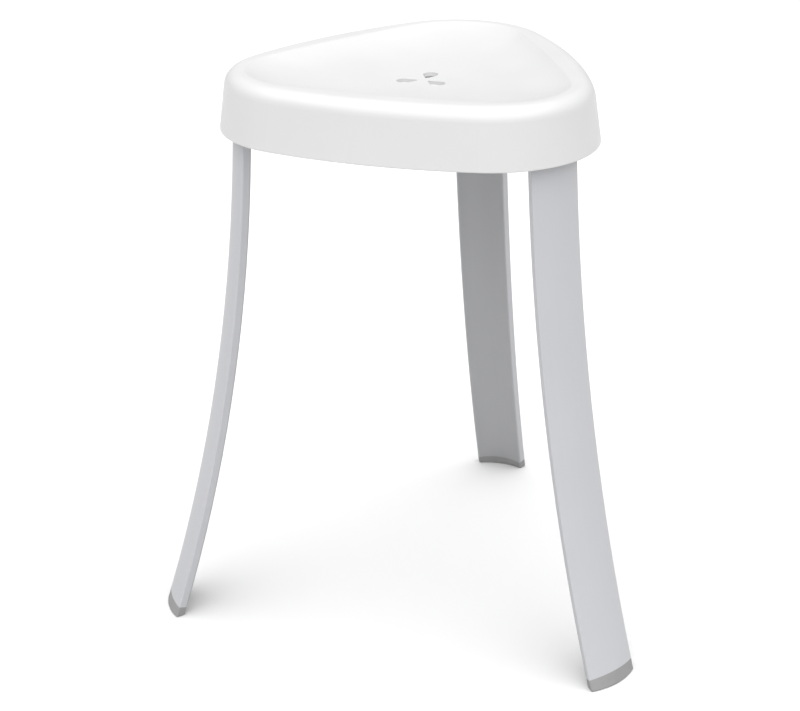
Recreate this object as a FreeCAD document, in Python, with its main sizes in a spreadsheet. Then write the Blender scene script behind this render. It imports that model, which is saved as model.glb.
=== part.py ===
import FreeCAD, Part
import math
import os
import Sketcher

# Three-legged shower stool.  A moulded seat stands on three bowed aluminium legs with rubber feet.
# Frame: millimetres, origin on the floor on the stool's axis, +Z up, rear leg towards +Y.
# The seat and every leg are drawn with a leg towards +X of their own frame; each body's
# Placement then turns it about Z to its place.

DOC = FreeCAD.newDocument("shower_stool")
SHEET = DOC.addObject("Spreadsheet::Sheet", "Spec")

SIZES = {
    # seat, outside
    "total_height": 470.0,
    "rim_height": 422.6,
    "side_distance": 132.3,
    "corner_distance": 164.7,
    "corner_radius": 86.5,
    "skirt_draft": 7.8,
    "lip_rounding": 12.0,
    "wall_thickness": 3.0,
    "lip_thickness": 5.0,
    "rim_rounding": 1.0,
    # dish inside the lip: a circle at its middle grows into a rounded triangle at its edge
    "dish_side_distance": 103.5,
    "dish_corner_distance": 143.0,
    "dish_corner_softness": 0.9,
    "dish_depth": 15.2,
    "dish_edge_share": 0.4,
    "dish_edge_power": 8.0,
    "dish_edge_rounding": 4.0,
    # drain holes
    "drain_inner_reach": 5.2,
    "drain_outer_reach": 22.6,
    "drain_width": 12.4,
    "drain_tip_radius": 1.6,
    # ribs under the seat
    "rib_thickness": 2.5,
    "rib_bottom": 446.0,
    "rib_top": 465.2,
    "hub_radius": 34.0,
    "twin_rib_offset": 17.0,
    "side_rib_bite": 0.8,
    # leg: a curved hollow strip, bowed along its length
    "leg_corner_reach": 147.8,
    "bow_radius": 1605.9,
    "bow_height": 492.8,
    "leg_width": 49.4,
    "leg_thickness": 8.0,
    "leg_outer_radius": 59.4,
    "leg_wall": 1.8,
    "leg_edge_rounding": 1.2,
    "leg_top_height": 459.0,
    "leg_end_height": 9.3,
    # socket block under the seat
    "socket_bottom": 427.0,
    "socket_inner_face": 137.2,
    "socket_outer_reach": 156.6,
    "socket_width": 58.0,
    "socket_clearance": 0.25,
    # foot
    "spigot_length": 22.0,
    "spigot_clearance": 0.15,
    "foot_edge_rounding": 0.8,
    # fasteners of each leg
    "screw_diameter": 5.0,
    "screw_hole": 5.5,
    "screw_length": 10.0,
    "screw_low": 436.5,
    "screw_high": 451.5,
    "head_diameter": 9.5,
    "head_height": 2.75,
    "head_rounding": 2.2,
    "hex_width": 3.0,
    "hex_depth": 1.8,
    "washer_diameter": 11.0,
    "washer_thickness": 1.0,
    "washer_hole": 5.4,
    "spotface_diameter": 12.0,
    "spotface_floor": 142.0,
    "nut_hole": 5.2,
    "nut_width": 16.0,
    "nut_clearance": 0.15,
    "nut_bottom": 429.0,
    "nut_top": 458.0,
}
LEG_ANGLES = {"rear": 90.0, "left": 210.0, "right": 330.0}
SEAT_CORNERS = (0.0, 120.0, 240.0)
DISH_RINGS = (1.02, 0.97, 0.91, 0.83, 0.7, 0.55, 0.4, 0.24, 0.08)

for row, (alias, value) in enumerate(SIZES.items(), start=1):
    SHEET.set("A%d" % row, alias)
    SHEET.set("B%d" % row, str(value))
    SHEET.setAlias("B%d" % row, alias)
DOC.recompute()


def size(alias):
    """Value of one driving dimension, read back from the sheet."""
    return float(SHEET.get(alias))


def vec(x, y, z=0.0):
    return FreeCAD.Vector(x, y, z)


def polar(reach, degrees):
    angle = math.radians(degrees)
    return vec(reach * math.cos(angle), reach * math.sin(angle))


# ------------------------------------------------------------------ document helpers


def new_body(name):
    body = DOC.addObject("PartDesign::Body", name)
    body.Label = name
    return body


def origin_feature(body, role):
    for item in body.Origin.OriginFeatures:
        if item.Role == role:
            return item
    raise RuntimeError("origin has no " + role)


def new_sketch(body, name, edges, height=None, role="XY_Plane"):
    """Sketch of closed outlines on an origin plane; height is an expression along its normal."""
    sketch = body.newObject("Sketcher::SketchObject", name)
    sketch.AttachmentSupport = [(origin_feature(body, role), "")]
    sketch.MapMode = "FlatFace"
    if height is not None:
        sketch.setExpression("AttachmentOffset.Base.z", height)
    for edge in edges:
        sketch.addGeometry(edge, False)
    return sketch


def bind_circle(sketch, index, alias):
    """Tie the diameter of one circle of a sketch to the sheet."""
    number = sketch.addConstraint(Sketcher.Constraint("Diameter", index, size(alias)))
    name = "bore%d" % index
    sketch.renameConstraint(number, name)
    sketch.setExpression("Constraints." + name, "Spec." + alias)


def add_feature(body, kind, name, sign, **values):
    """Add a feature, bind its text values as expressions and see that the volume changes."""
    before = body.Shape.Volume if body.Tip else 0.0
    item = body.newObject("PartDesign::" + kind, name)
    for key, value in values.items():
        if isinstance(value, str) and key != "Type":
            item.setExpression(key, value)
        else:
            setattr(item, key, value)
    body.Tip = item
    DOC.recompute()
    change = body.Shape.Volume - before
    if change * sign <= 0:
        raise RuntimeError("%s changes the volume by %.2f mm3" % (item.Name, change))
    return item


def pattern_round(body, name, originals, sign):
    """Repeat features at the three corners of the seat."""
    axis = (origin_feature(body, "Z_Axis"), [""])
    return add_feature(
        body, "PolarPattern", name, sign, Originals=originals, Axis=axis, Angle=360.0, Occurrences=3
    )


def round_edges(body, name, alias, test):
    """Fillet every edge of the body whose sampled points all pass the test."""
    names = []
    for number, edge in enumerate(body.Shape.Edges, start=1):
        first, last = edge.ParameterRange
        points = [edge.valueAt(first + (last - first) * step / 8) for step in range(9)]
        if test(points):
            names.append("Edge%d" % number)
    if not names:
        raise RuntimeError(name + " finds no edge")
    base = (body.Tip, names)
    item = body.newObject("PartDesign::Fillet", name)
    item.Base = base
    item.setExpression("Radius", "Spec." + alias)
    body.Tip = item
    DOC.recompute()
    if "Invalid" in item.State:
        raise RuntimeError(name + " fails")
    return item


# ------------------------------------------------------------------ outlines


def arc(centre, radius, start, end):
    circle = Part.Circle(centre, vec(0, 0, 1), radius)
    return Part.ArcOfCircle(circle, math.radians(start), math.radians(end))


def polygon(points):
    return [Part.LineSegment(start, end) for start, end in zip(points, points[1:] + points[:1])]


def rectangle(x_low, x_high, y_low, y_high):
    return polygon([vec(x_low, y_low), vec(x_high, y_low), vec(x_high, y_high), vec(x_low, y_high)])


def seat_plan(inset=0.0):
    """Plan of the seat at its lower rim, moved inwards by inset."""
    return rounded_triangle(size("side_distance"), size("corner_distance"), size("corner_radius"), inset)


def rounded_triangle(side, corner, radius, inset=0.0):
    """Three side arcs and three corner arcs, tangent to each other.

    side and corner are the distances from the axis to the middle of a side and to a corner, and
    radius is the corner's; the side's radius follows from them.
    """
    corner_centre = corner - radius
    across = corner_centre * math.sin(math.pi / 3)
    along = corner_centre / 2 - side
    side_radius = (across**2 + along**2 - radius**2) / (-2 * radius - 2 * along)
    half_side = math.degrees(math.asin(across / (side_radius - radius)))
    half_corner = 60 - half_side
    edges = []
    for angle in SEAT_CORNERS:
        corner_arc = arc(
            polar(corner_centre, angle),
            radius - inset,
            angle - half_corner,
            angle + half_corner,
        )
        side_angle = angle + 60
        side_arc = arc(
            polar(side - side_radius, side_angle),
            side_radius - inset,
            side_angle - half_side,
            side_angle + half_side,
        )
        edges += [corner_arc, side_arc]
    return edges


def strip_section(face_inset, end_inset=0.0, width=None, rounding=0.0):
    """Section of a leg, convex outwards, its outer corners bow_radius from the bow's axis.

    face_inset moves both curved faces into the strip and end_inset both end faces; a width
    given instead cuts a narrower piece out of its middle.  rounding is the radius of the corners.
    """
    outer = size("leg_outer_radius") - face_inset
    inner = size("leg_outer_radius") - size("leg_thickness") + face_inset
    half_width = size("leg_width") / 2
    centre_x = -size("bow_radius") - math.sqrt(size("leg_outer_radius") ** 2 - half_width**2)
    spread = math.degrees(math.asin(half_width / size("leg_outer_radius")) - end_inset / outer)
    if width is not None:
        spread = math.degrees(math.asin(width / 2 / outer))
    centre = vec(centre_x, 0)
    outer_turn = math.degrees(math.asin(rounding / (outer - rounding)))
    inner_turn = math.degrees(math.asin(rounding / (inner + rounding)))
    outer_spread = spread - outer_turn
    inner_spread = spread - inner_turn
    outer_end = math.sqrt((outer - rounding) ** 2 - rounding**2)
    inner_end = math.sqrt((inner + rounding) ** 2 - rounding**2)
    edges = [
        arc(centre, outer, -outer_spread, outer_spread),
        arc(centre, inner, -inner_spread, inner_spread),
        Part.LineSegment(centre + polar(outer_end, spread), centre + polar(inner_end, spread)),
        Part.LineSegment(centre + polar(outer_end, -spread), centre + polar(inner_end, -spread)),
    ]
    if rounding > 0:
        outer_reach = outer - rounding
        inner_reach = inner + rounding
        edges += [
            arc(centre + polar(outer_reach, outer_spread), rounding, outer_spread, spread + 90),
            arc(centre + polar(inner_reach, inner_spread), rounding, spread + 90, inner_spread + 180),
            arc(centre + polar(inner_reach, -inner_spread), rounding, 180 - inner_spread, 270 - spread),
            arc(centre + polar(outer_reach, -outer_spread), rounding, -spread - 90, -outer_spread),
        ]
    return edges


def bow_angle(height):
    """Expression for the turn about the bow's axis at which a leg's corner has this height."""
    return "asin((Spec.bow_height - (%s)) / Spec.bow_radius)" % height


def bow_sweep(body, kind, name, sign, edges, from_height, to_height):
    """Turn a strip section about the bow's axis, down from one height to another."""
    sketch = body.newObject("Sketcher::SketchObject", name + "_section")
    sketch.AttachmentSupport = [(origin_feature(body, "XY_Plane"), "")]
    sketch.MapMode = "FlatFace"
    sketch.AttachmentOffset = FreeCAD.Placement(vec(1, 0, 1), FreeCAD.Rotation(vec(0, 1, 0), -1))
    sketch.setExpression("AttachmentOffset.Base.x", "Spec.leg_corner_reach + Spec.bow_radius")
    sketch.setExpression("AttachmentOffset.Base.z", "Spec.bow_height")
    sketch.setExpression("AttachmentOffset.Rotation.Angle", "-" + bow_angle(from_height))
    for edge in edges:
        sketch.addGeometry(edge, False)
    turn = bow_angle(to_height) + " - " + bow_angle(from_height)
    return add_feature(
        body, kind, name, sign, Profile=sketch, ReferenceAxis=(sketch, ["V_Axis"]), Reversed=True, Angle=turn
    )


# ------------------------------------------------------------------ seat


def make_seat():
    """Moulded seat: lip and dish on top; skirt, ribs and three leg sockets below."""
    body = new_body("seat_shell")
    wall = size("wall_thickness")
    top = size("total_height")

    outline = new_sketch(body, "seat_outline", seat_plan(), "Spec.rim_height")
    add_feature(
        body, "Pad", "seat_block", 1, Profile=outline, Length="Spec.total_height - Spec.rim_height",
        TaperAngle="-Spec.skirt_draft",
    )
    round_edges(body, "lip_outside", "lip_rounding", lambda points: all(p.z > top - 0.01 for p in points))

    inside = new_sketch(body, "cavity_outline", seat_plan(wall), "Spec.rim_height")
    add_feature(
        body, "Pocket", "cavity", -1, Profile=inside, Reversed=True, TaperAngle="-Spec.skirt_draft",
        Length="Spec.total_height - Spec.lip_thickness - Spec.rim_height",
    )
    add_dish(body, "AdditiveLoft", "dish_underside", 1, -wall, wall)
    add_ribs(body)
    add_socket_blocks(body)

    add_dish(body, "SubtractiveLoft", "dish", -1, 0.0, 0.0)
    add_drain_holes(body)
    add_leg_sockets(body)

    dish_reach = size("dish_corner_distance") + 1
    round_edges(
        body, "dish_edge", "dish_edge_rounding",
        lambda points: all(p.z > top - 0.01 and math.hypot(p.x, p.y) < dish_reach for p in points),
    )
    rim = size("rim_height")
    round_edges(
        body, "rim_edges", "rim_rounding", lambda points: all(p.z < rim + 0.01 for p in points)
    )
    return body


def add_dish(body, kind, name, sign, rise, spread):
    """Bowl whose plan turns from a circle at the middle into a rounded triangle at the edge.

    It rises evenly from the middle and steepens near its edge; spread widens every ring and rise
    lifts it.
    """
    sections = []
    stretch = size("dish_corner_distance") / size("dish_side_distance") - 1
    for ring in DISH_RINGS:
        side = size("dish_side_distance") * ring
        corner = side * (1 + stretch * ring)
        radius = size("dish_corner_softness") * (2 * side - corner)
        edge_share = size("dish_edge_share")
        share = (1 - edge_share) * ring**2 + edge_share * ring ** size("dish_edge_power")
        height = "Spec.total_height - Spec.dish_depth * (1 - %.5f) + (%.2f)" % (share, rise)
        plan = rounded_triangle(side, corner, radius, -spread)
        sections.append(new_sketch(body, "%s_%03d" % (name, round(ring * 100)), plan, height))
    add_feature(body, kind, name, sign, Profile=sections[0], Sections=sections[1:], Ruled=False)


def add_ribs(body):
    """A ring round the drain holes, a rib to each side and two to each socket."""
    half = size("rib_thickness") / 2
    hub = size("hub_radius")
    height = "Spec.rib_top - Spec.rib_bottom"
    ring = [Part.Circle(vec(0, 0), vec(0, 0, 1), hub - 2 * half), Part.Circle(vec(0, 0), vec(0, 0, 1), hub)]
    ring_sketch = new_sketch(body, "hub_plan", ring, "Spec.rib_bottom")
    add_feature(body, "Pad", "hub_ring", 1, Profile=ring_sketch, Length=height)

    bottom, top = size("rib_bottom"), size("rib_top")
    wall_reach = size("side_distance") - size("wall_thickness") + size("side_rib_bite")
    slope = math.tan(math.radians(size("skirt_draft")))
    side_rib = [
        vec(half - hub, bottom),
        vec((bottom - size("rim_height")) * slope - wall_reach, bottom),
        vec((top - size("rim_height")) * slope - wall_reach, top),
        vec(half - hub, top),
    ]
    rib_sketch = new_sketch(body, "side_rib_face", polygon(side_rib), "-Spec.rib_thickness / 2", "XZ_Plane")
    rib = add_feature(body, "Pad", "side_rib", 1, Profile=rib_sketch, Length="Spec.rib_thickness")
    pattern_round(body, "side_ribs", [rib], 1)

    offset = size("twin_rib_offset")
    start = math.sqrt((hub - half) ** 2 - offset**2)
    end = size("socket_inner_face") + half
    twin = rectangle(start, end, offset - half, offset + half)
    twin += rectangle(start, end, -offset - half, -offset + half)
    twin_sketch = new_sketch(body, "corner_rib_plan", twin, "Spec.rib_bottom")
    twins = add_feature(body, "Pad", "corner_ribs", 1, Profile=twin_sketch, Length=height)
    pattern_round(body, "corner_rib_pairs", [twins], 1)


def add_socket_blocks(body):
    """A block under each corner; its outer face follows the corner of the seat."""
    half = size("socket_width") / 2
    inner = size("socket_inner_face")
    centre = size("corner_distance") - size("corner_radius")
    radius = size("socket_outer_reach") - centre
    spread = math.asin(half / radius)
    edge_x = centre + radius * math.cos(spread)
    block = [
        arc(vec(centre, 0), radius, -math.degrees(spread), math.degrees(spread)),
        Part.LineSegment(vec(edge_x, half), vec(inner, half)),
        Part.LineSegment(vec(inner, half), vec(inner, -half)),
        Part.LineSegment(vec(inner, -half), vec(edge_x, -half)),
    ]
    sketch = new_sketch(body, "socket_plan", block, "Spec.socket_bottom")
    pad = add_feature(
        body, "Pad", "socket_block", 1, Profile=sketch, Length="Spec.rib_top - Spec.socket_bottom"
    )
    pattern_round(body, "socket_blocks", [pad], 1)


def add_drain_holes(body):
    """Three drops round the axis, their points inwards, each towards a corner."""
    tip = size("drain_tip_radius")
    full = size("drain_width") / 2
    tip_x = size("drain_inner_reach") + tip
    full_x = size("drain_outer_reach") - full
    lean = math.degrees(math.asin((full - tip) / (full_x - tip_x)))
    edges = []
    for angle in SEAT_CORNERS:
        tip_centre = polar(tip_x, angle)
        full_centre = polar(full_x, angle)
        left = angle + 90 + lean
        right = angle - 90 - lean
        edges += [
            arc(full_centre, full, right, left),
            Part.LineSegment(full_centre + polar(full, left), tip_centre + polar(tip, left)),
            arc(tip_centre, tip, left, right + 360),
            Part.LineSegment(tip_centre + polar(tip, right), full_centre + polar(full, right)),
        ]
    sketch = new_sketch(body, "drain_plan", edges, "Spec.total_height")
    depth = "Spec.total_height - Spec.rib_bottom"
    add_feature(body, "Pocket", "drain_holes", -1, Profile=sketch, Length=depth)


def add_leg_sockets(body):
    """Slots that take the legs' ends, screw holes through their inner walls and flats for washers."""
    clearance = size("socket_clearance")
    slot_edges = strip_section(-clearance, -clearance)
    slot = bow_sweep(
        body, "Groove", "leg_slot", -1, slot_edges, "Spec.leg_top_height + Spec.socket_clearance",
        "Spec.socket_bottom - 3",
    )
    pattern_round(body, "leg_slots", [slot], -1)
    flats = screw_pocket(body, "washer_flats", "spotface_diameter", "Spec.spotface_floor", "10")
    pattern_round(body, "washer_flat_pairs", [flats], -1)
    holes = screw_pocket(body, "screw_holes", "screw_hole", "Spec.leg_corner_reach", "10")
    pattern_round(body, "screw_hole_pairs", [holes], -1)


def screw_pocket(body, name, diameter, reach, length):
    """Two round holes, one above the other, cut towards the axis from a distance called reach."""
    radius = size(diameter) / 2
    circles = [
        Part.Circle(vec(0, size(height)), vec(0, 0, 1), radius) for height in ("screw_low", "screw_high")
    ]
    sketch = new_sketch(body, name + "_plan", circles, reach, "YZ_Plane")
    for index in range(len(circles)):
        bind_circle(sketch, index, diameter)
    return add_feature(body, "Pocket", name, -1, Profile=sketch, Length=length)


# ------------------------------------------------------------------ legs and feet


def place_on_leg(body, angle):
    body.Placement = FreeCAD.Placement(vec(0, 0), FreeCAD.Rotation(vec(0, 0, 1), angle))


def make_leg(place, angle):
    """Hollow extrusion bent along its length, square-cut at both ends, two holes near its top."""
    body = new_body("leg_" + place)
    top, end = "Spec.leg_top_height", "Spec.leg_end_height"
    outline = strip_section(0.0, rounding=size("leg_edge_rounding"))
    bow_sweep(body, "Revolution", "strip", 1, outline, top, end)
    wall = size("leg_wall")
    bow_sweep(body, "Groove", "hollow", -1, strip_section(wall, wall), top + " + 2", end + " - 2")
    screw_pocket(body, "screw_holes", "screw_hole", "Spec.leg_corner_reach + 2", "10")
    place_on_leg(body, angle)
    return body


def make_foot(place, angle):
    """Rubber cap flush with the leg, flat on the floor, with a spigot up inside the leg."""
    body = new_body("foot_" + place)
    end = "Spec.leg_end_height"
    outline = strip_section(0.0, rounding=size("leg_edge_rounding"))
    bow_sweep(body, "Revolution", "cap", 1, outline, end, end + " - 16")
    inset = size("leg_wall") + size("spigot_clearance")
    spigot_top = end + " + Spec.spigot_length"
    bow_sweep(body, "Revolution", "spigot", 1, strip_section(inset, inset), spigot_top, end + " - 2")
    floor_cut = rectangle(180, 280, -40, 40)
    sketch = new_sketch(body, "floor_plan", floor_cut)
    add_feature(body, "Pocket", "floor_face", -1, Profile=sketch, Length=30.0)
    round_edges(
        body, "floor_edges", "foot_edge_rounding", lambda points: all(abs(p.z) < 0.01 for p in points)
    )
    place_on_leg(body, angle)
    return body


def make_nut_plate(place, angle):
    """Curved steel strip inside the leg's top with two threaded holes."""
    body = new_body("nut_plate_" + place)
    inset = size("leg_wall") + size("nut_clearance")
    edges = strip_section(inset, width=size("nut_width"))
    bow_sweep(body, "Revolution", "strip", 1, edges, "Spec.nut_top", "Spec.nut_bottom")
    screw_pocket(body, "threaded_holes", "nut_hole", "Spec.leg_corner_reach + Spec.leg_thickness", "20")
    place_on_leg(body, angle)
    return body


# ------------------------------------------------------------------ fasteners


def place_on_screw_axis(body, reach, angle, height):
    """Lay a body's +Z along a leg's outward direction, starting at a distance from the axis."""
    turn = FreeCAD.Rotation(vec(0, 0, 1), angle)
    outwards = FreeCAD.Rotation(vec(0, 1, 0), 90)
    body.Placement = FreeCAD.Placement(turn.multVec(vec(reach, 0)) + vec(0, 0, height), turn * outwards)


def make_washer(name, angle, height):
    body = new_body(name)
    circles = [
        Part.Circle(vec(0, 0), vec(0, 0, 1), size("washer_hole") / 2),
        Part.Circle(vec(0, 0), vec(0, 0, 1), size("washer_diameter") / 2),
    ]
    sketch = new_sketch(body, "ring", circles)
    bind_circle(sketch, 0, "washer_hole")
    bind_circle(sketch, 1, "washer_diameter")
    add_feature(body, "Pad", "disc", 1, Profile=sketch, Length="Spec.washer_thickness")
    place_on_screw_axis(body, size("spotface_floor") - size("washer_thickness"), angle, height)
    return body


def make_screw(name, angle, height):
    """Button-head screw with a hexagon socket; +Z runs from the head to the tip."""
    body = new_body(name)
    head = new_sketch(body, "head_plan", [Part.Circle(vec(0, 0), vec(0, 0, 1), size("head_diameter") / 2)])
    bind_circle(head, 0, "head_diameter")
    add_feature(body, "Pad", "head", 1, Profile=head, Length="Spec.head_height", Reversed=True)
    head_top = -size("head_height")
    round_edges(
        body, "head_dome", "head_rounding", lambda points: all(p.z < head_top + 0.01 for p in points)
    )
    shank = new_sketch(body, "shank_plan", [Part.Circle(vec(0, 0), vec(0, 0, 1), size("screw_diameter") / 2)])
    bind_circle(shank, 0, "screw_diameter")
    add_feature(body, "Pad", "shank", 1, Profile=shank, Length="Spec.screw_length")
    corners = [polar(size("hex_width") / math.sqrt(3), 60 * step) for step in range(6)]
    socket = new_sketch(body, "socket_plan", polygon(corners), "-Spec.head_height")
    add_feature(body, "Pocket", "hex_socket", -1, Profile=socket, Length="Spec.hex_depth", Reversed=True)
    place_on_screw_axis(body, size("spotface_floor") - size("washer_thickness"), angle, height)
    return body


# ------------------------------------------------------------------ the whole stool


def build():
    seat = make_seat()
    seat.Placement = FreeCAD.Placement(vec(0, 0), FreeCAD.Rotation(vec(0, 0, 1), LEG_ANGLES["rear"]))
    bodies = [seat]
    for place, angle in LEG_ANGLES.items():
        bodies.append(make_leg(place, angle))
        bodies.append(make_foot(place, angle))
        bodies.append(make_nut_plate(place, angle))
        for level in ("low", "high"):
            height = size("screw_" + level)
            bodies.append(make_washer("washer_%s_%s" % (place, level), angle, height))
            bodies.append(make_screw("screw_%s_%s" % (place, level), angle, height))
    DOC.recompute()
    return bodies


def check(bodies):
    for item in DOC.Objects:
        if "Invalid" in item.State or "Error" in item.State:
            raise RuntimeError("%s is %s" % (item.Name, item.State))
    for body in bodies:
        if body.Shape.isNull() or not body.Shape.isValid() or len(body.Shape.Solids) != 1:
            raise RuntimeError(body.Label + " is not one valid solid")


def write(bodies):
    os.makedirs("parts", exist_ok=True)
    for body in bodies:
        body.Shape.exportStep("parts/%s.step" % body.Label)


STOOL = build()
check(STOOL)
write(STOOL)
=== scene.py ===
import math

import bpy
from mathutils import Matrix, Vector

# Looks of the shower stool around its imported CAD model.  Metres, the CAD model's own frame:
# origin on the floor on the stool's axis, +Z up, rear leg towards +Y.

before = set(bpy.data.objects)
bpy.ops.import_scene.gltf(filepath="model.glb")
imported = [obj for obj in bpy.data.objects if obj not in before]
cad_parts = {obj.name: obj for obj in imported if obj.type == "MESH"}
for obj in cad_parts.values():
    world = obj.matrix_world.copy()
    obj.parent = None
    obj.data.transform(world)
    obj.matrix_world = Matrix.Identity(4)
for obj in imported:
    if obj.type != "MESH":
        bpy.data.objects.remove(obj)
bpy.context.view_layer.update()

LEG_ANGLES = {"rear": 90.0, "left": 210.0, "right": 330.0}

# The legs' bow, as the CAD model has it.
BOW_RADIUS = 1.6059
BOW_HEIGHT = 0.4928
LEG_REACH = 0.1478
LEG_OUTER_RADIUS = 0.0594
LEG_WIDTH = 0.0494

# The camera, in metres and degrees: where it stands, round the stool's axis from the front, and
# how far it looks down and aside.  Its lens and film are in millimetres, and its shift is a share
# of the film's width.
CAMERA_DISTANCE = 1.39985
CAMERA_HEIGHT = 0.83483
CAMERA_AROUND = 19.23
CAMERA_DOWN = 20.744
CAMERA_ASIDE = 1.72
CAMERA_LENS = 80.79
CAMERA_FILM = 36.0
CAMERA_SHIFT = (-0.0955, -0.1267)

# The light: an even white air and one wide soft sun, high up on the camera's side.  Its place is
# in degrees, round from +X and up from the floor.
AIR_STRENGTH = 0.4
KEY_STRENGTH = 4.7
KEY_SPREAD = 100.0
KEY_AROUND = 289.0
KEY_HEIGHT = 71.0

# The floor's disc lies a hair below the feet, so that no two faces share a place.
FLOOR_RADIUS = 9.0
FLOOR_SIDES = 96
FLOOR_DROP = 0.0004

# The darkest and the lightest tone of each material.
PLASTIC_TONES = (0.525, 0.525, 0.526), (0.545, 0.545, 0.545)
LEG_OUTSIDE_TONES = (0.42, 0.424, 0.442), (0.44, 0.444, 0.462)
# Painted shade: the legs' inner faces take these darker tones in place of the shade they lie in under
# the seat.
LEG_INSIDE_PAINTED_SHADE_TONES = (0.325, 0.327, 0.335), (0.340, 0.342, 0.350)
RUBBER_TONES = (0.215, 0.215, 0.215), (0.25, 0.25, 0.25)
STAINLESS_TONES = (0.50, 0.49, 0.48), (0.62, 0.61, 0.59)
ZINC_TONES = (0.42, 0.44, 0.47), (0.58, 0.60, 0.62)
FLOOR_TONES = (0.68, 0.68, 0.68), (0.695, 0.695, 0.695)

# How much of an anodised leg's surface answers light as bare metal does.
LEG_METAL = 0.2

# How deep under a leg's outer face the tone changes to the painted shade on its inner face.
PAINTED_SHADE_STARTS = 0.0068
PAINTED_SHADE_FULL = 0.0076

# How fine an extrusion's die lines are, as noise per metre across a leg and along it.
LINES_ACROSS = 1500
LINES_ALONG = 6


# ------------------------------------------------------------------ node helpers


class Nodes:
    """Short names for building one material's node tree."""

    def __init__(self, name):
        self.material = bpy.data.materials.new(name)
        self.material.use_nodes = True
        self.tree = self.material.node_tree
        self.shader = self.tree.nodes["Principled BSDF"]
        self.place = self.tree.nodes.new("ShaderNodeTexCoord").outputs["Object"]

    def link(self, source, target):
        self.tree.links.new(source, target)

    def put(self, socket, value):
        """Link a socket, or set it where the value is plain."""
        if isinstance(value, bpy.types.NodeSocket):
            self.link(value, socket)
        else:
            socket.default_value = value

    def math(self, operation, first, second=0.0):
        node = self.tree.nodes.new("ShaderNodeMath")
        node.operation = operation
        self.put(node.inputs[0], first)
        self.put(node.inputs[1], second)
        return node.outputs[0]

    def split(self, vector):
        node = self.tree.nodes.new("ShaderNodeSeparateXYZ")
        self.link(vector, node.inputs[0])
        return node.outputs

    def join(self, x, y, z):
        node = self.tree.nodes.new("ShaderNodeCombineXYZ")
        for socket, value in zip(node.inputs, (x, y, z)):
            self.put(socket, value)
        return node.outputs[0]

    def noise(self, scale, detail=3.0, roughness=0.5, vector=None):
        node = self.tree.nodes.new("ShaderNodeTexNoise")
        self.link(vector or self.place, node.inputs["Vector"])
        node.inputs["Scale"].default_value = scale
        node.inputs["Detail"].default_value = detail
        node.inputs["Roughness"].default_value = roughness
        return node.outputs["Fac"]

    def spots(self, scale):
        node = self.tree.nodes.new("ShaderNodeTexVoronoi")
        self.link(self.place, node.inputs["Vector"])
        node.inputs["Scale"].default_value = scale
        return node.outputs["Distance"]

    def remap(self, value, low, high, from_low=0.3, from_high=0.7):
        """Carry one range over to another; noise keeps mostly between 0.3 and 0.7."""
        node = self.tree.nodes.new("ShaderNodeMapRange")
        self.put(node.inputs["Value"], value)
        node.inputs["From Min"].default_value = from_low
        node.inputs["From Max"].default_value = from_high
        node.inputs["To Min"].default_value = low
        node.inputs["To Max"].default_value = high
        return node.outputs["Result"]

    def tint(self, pattern, tones):
        """Colour that goes from the darkest to the lightest tone as a pattern does."""
        node = self.tree.nodes.new("ShaderNodeMix")
        node.data_type = "RGBA"
        self.link(self.remap(pattern, 0.0, 1.0), node.inputs["Factor"])
        for name, tone in zip(("A", "B"), tones):
            node.inputs[name].default_value = (*tone, 1.0)
        return node.outputs["Result"]

    def mix(self, factor, first, second):
        node = self.tree.nodes.new("ShaderNodeMix")
        node.data_type = "RGBA"
        self.link(factor, node.inputs["Factor"])
        self.link(first, node.inputs["A"])
        self.link(second, node.inputs["B"])
        return node.outputs["Result"]

    def stretch(self, *pairs):
        """Coordinates for a pattern, each one scaled by its own factor."""
        return self.join(*[self.math("MULTIPLY", value, factor) for value, factor in pairs])

    def bump(self, height, strength, distance, normal=None):
        node = self.tree.nodes.new("ShaderNodeBump")
        node.inputs["Strength"].default_value = strength
        node.inputs["Distance"].default_value = distance
        self.link(height, node.inputs["Height"])
        if normal is not None:
            self.link(normal, node.inputs["Normal"])
        return node.outputs["Normal"]

    def finish(self, colour, roughness, normal, **uniform):
        self.link(colour, self.shader.inputs["Base Color"])
        self.link(roughness, self.shader.inputs["Roughness"])
        self.link(normal, self.shader.inputs["Normal"])
        for name, value in uniform.items():
            self.shader.inputs[name.replace("_", " ")].default_value = value
        return self.material


# ------------------------------------------------------------------ materials


def seat_plastic():
    """White moulded plastic: fine even grain and pores, faint flow clouds, gloss a little uneven."""
    n = Nodes("seat_plastic")
    clouds = n.noise(scale=9.0, detail=3.0)
    grain = n.noise(scale=1400.0, detail=2.0, roughness=0.6)
    pores = n.spots(scale=900.0)
    roughness = n.remap(n.noise(scale=30.0, detail=4.0), low=0.36, high=0.44)
    grained = n.bump(grain, strength=0.10, distance=0.00006)
    normal = n.bump(pores, strength=0.05, distance=0.00005, normal=grained)
    return n.finish(n.tint(clouds, PLASTIC_TONES), roughness, normal, IOR=1.49)


def leg_directions(n, angle):
    """Where a point is in the leg at an angle: out from its bow line, across the leg, and height."""
    x, y, z = n.split(n.place)
    cosine = math.cos(math.radians(angle))
    sine = math.sin(math.radians(angle))
    outward = n.math("ADD", n.math("MULTIPLY", x, cosine), n.math("MULTIPLY", y, sine))
    across = n.math("SUBTRACT", n.math("MULTIPLY", y, cosine), n.math("MULTIPLY", x, sine))
    fall = n.math("SUBTRACT", BOW_HEIGHT, z)
    rest = n.math("SUBTRACT", BOW_RADIUS**2, n.math("MULTIPLY", fall, fall))
    path = n.math("SUBTRACT", LEG_REACH + BOW_RADIUS, n.math("SQRT", rest))
    return n.math("SUBTRACT", outward, path), across, z


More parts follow.
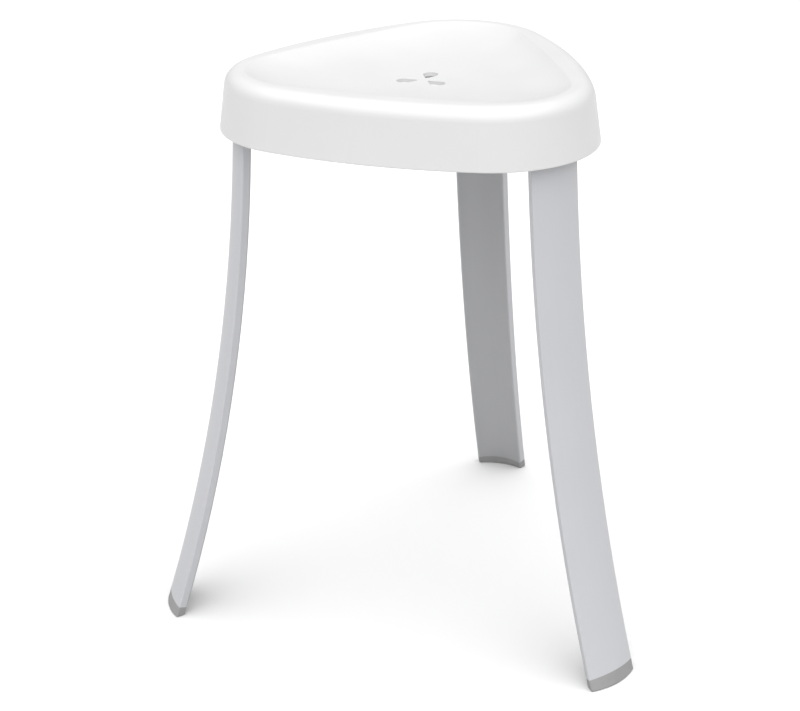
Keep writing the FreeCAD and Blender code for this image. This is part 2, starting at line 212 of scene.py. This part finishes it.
def depth_in_leg(n, out, across):
    """How far a point lies under the leg's round outer face."""
    squares = n.math("SUBTRACT", LEG_OUTER_RADIUS**2, n.math("MULTIPLY", across, across))
    edge = math.sqrt(LEG_OUTER_RADIUS**2 - (LEG_WIDTH / 2) ** 2)
    outer_face = n.math("SUBTRACT", n.math("SQRT", squares), edge)
    return n.math("SUBTRACT", outer_face, out)


def anodised(angle):
    """Satin anodised extrusion of one leg: fine die lines run along its bow, its inner face darkened
    with painted shade.
    """
    n = Nodes("anodised_%03d" % angle)
    out, across, height = leg_directions(n, angle)
    buried = depth_in_leg(n, out, across)
    drawn = n.stretch((out, LINES_ACROSS), (across, LINES_ACROSS), (height, LINES_ALONG))
    lines = n.noise(scale=1.0, detail=3.0, roughness=0.6, vector=drawn)
    clouds = n.noise(scale=14.0, detail=3.0)
    grain = n.noise(scale=2600.0, detail=2.0)
    tone = n.math("ADD", n.math("MULTIPLY", lines, 0.5), n.math("MULTIPLY", clouds, 0.5))
    # Painted shade: deeper than the outer face the leg turns to darker tones, standing in for the
    # shade under the seat.
    painted_shade_share = n.remap(buried, 0.0, 1.0, PAINTED_SHADE_STARTS, PAINTED_SHADE_FULL)
    colour = n.mix(painted_shade_share, n.tint(tone, LEG_OUTSIDE_TONES), n.tint(tone, LEG_INSIDE_PAINTED_SHADE_TONES))
    lined = n.bump(lines, strength=0.03, distance=0.00004)
    normal = n.bump(grain, strength=0.05, distance=0.00004, normal=lined)
    roughness = n.remap(tone, low=0.44, high=0.50)
    return n.finish(colour, roughness, normal, Metallic=LEG_METAL)


def grey_rubber():
    """Matt rubber with a fine grain."""
    n = Nodes("grey_rubber")
    clouds = n.noise(scale=60.0, detail=4.0)
    grain = n.noise(scale=1800.0, detail=3.0, roughness=0.6)
    normal = n.bump(grain, strength=0.25, distance=0.0001)
    roughness = n.remap(grain, low=0.62, high=0.8)
    return n.finish(n.tint(clouds, RUBBER_TONES), roughness, normal)


def steel(name, tones, smoothest, roughest):
    """Turned or rolled steel with fine marks."""
    n = Nodes(name)
    marks = n.noise(scale=900.0, detail=4.0, roughness=0.7)
    clouds = n.noise(scale=220.0, detail=2.0)
    normal = n.bump(marks, strength=0.12, distance=0.00005)
    roughness = n.remap(marks, smoothest, roughest)
    return n.finish(n.tint(clouds, tones), roughness, normal, Metallic=1.0)


def dress(node, material):
    """Give a CAD node its finished material."""
    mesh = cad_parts[node].data
    mesh.materials.clear()
    mesh.materials.append(material)


def dress_all():
    plastic = seat_plastic()
    rubber = grey_rubber()
    stainless = steel("stainless_steel", STAINLESS_TONES, smoothest=0.18, roughest=0.34)
    zinc = steel("zinc_plated_steel", ZINC_TONES, smoothest=0.3, roughest=0.5)
    dress("seat_shell", plastic)
    for place, angle in LEG_ANGLES.items():
        dress("leg_" + place, anodised(angle))
        dress("foot_" + place, rubber)
        dress("nut_plate_" + place, zinc)
        for level in ("low", "high"):
            dress("washer_%s_%s" % (place, level), stainless)
            dress("screw_%s_%s" % (place, level), stainless)


# ------------------------------------------------------------------ studio


def add_floor():
    """Pale matt floor, which is scenery and no part of the stool."""
    n = Nodes("studio_floor")
    normal = n.bump(n.noise(scale=90.0), strength=0.05, distance=0.0005)
    colour = n.tint(n.noise(scale=1.5), FLOOR_TONES)
    roughness = n.remap(n.noise(scale=4.0), low=0.8, high=0.9)
    material = n.finish(colour, roughness, normal)
    bpy.ops.mesh.primitive_circle_add(
        vertices=FLOOR_SIDES, radius=FLOOR_RADIUS, fill_type="NGON", location=(0, 0, -FLOOR_DROP)
    )
    floor = bpy.context.object
    floor.name = "studio_floor"
    floor.data.materials.append(material)


def add_world(strength):
    world = bpy.data.worlds.new("studio_air")
    world.use_nodes = True
    background = world.node_tree.nodes["Background"]
    background.inputs["Color"].default_value = (1.0, 1.0, 1.0, 1.0)
    background.inputs["Strength"].default_value = strength
    bpy.context.scene.world = world


def add_sun(name, strength, spread, around, height):
    """Soft light from far away; around and height are the angles of where it comes from."""
    light = bpy.data.lights.new(name, "SUN")
    light.energy = strength
    light.angle = math.radians(spread)
    lamp = bpy.data.objects.new(name, light)
    bpy.context.scene.collection.objects.link(lamp)
    around = math.radians(around)
    height = math.radians(height)
    level = math.cos(height)
    source = Vector((math.cos(around) * level, math.sin(around) * level, math.sin(height)))
    lamp.rotation_euler = source.to_track_quat("Z", "Y").to_euler()


def add_camera():
    camera = bpy.data.cameras.new("camera")
    camera.lens = CAMERA_LENS
    camera.sensor_width = CAMERA_FILM
    camera.shift_x, camera.shift_y = CAMERA_SHIFT
    view = bpy.data.objects.new("camera", camera)
    bpy.context.scene.collection.objects.link(view)
    around = math.radians(CAMERA_AROUND)
    view.location = (
        CAMERA_DISTANCE * math.sin(around), -CAMERA_DISTANCE * math.cos(around), CAMERA_HEIGHT
    )
    turn = math.radians(CAMERA_AROUND - CAMERA_ASIDE)
    view.rotation_euler = (math.radians(90 - CAMERA_DOWN), 0.0, turn)
    bpy.context.scene.camera = view


dress_all()
add_floor()
add_world(AIR_STRENGTH)
add_sun("key", KEY_STRENGTH, KEY_SPREAD, KEY_AROUND, KEY_HEIGHT)
add_camera()
bpy.context.scene.view_settings.view_transform = "Standard"
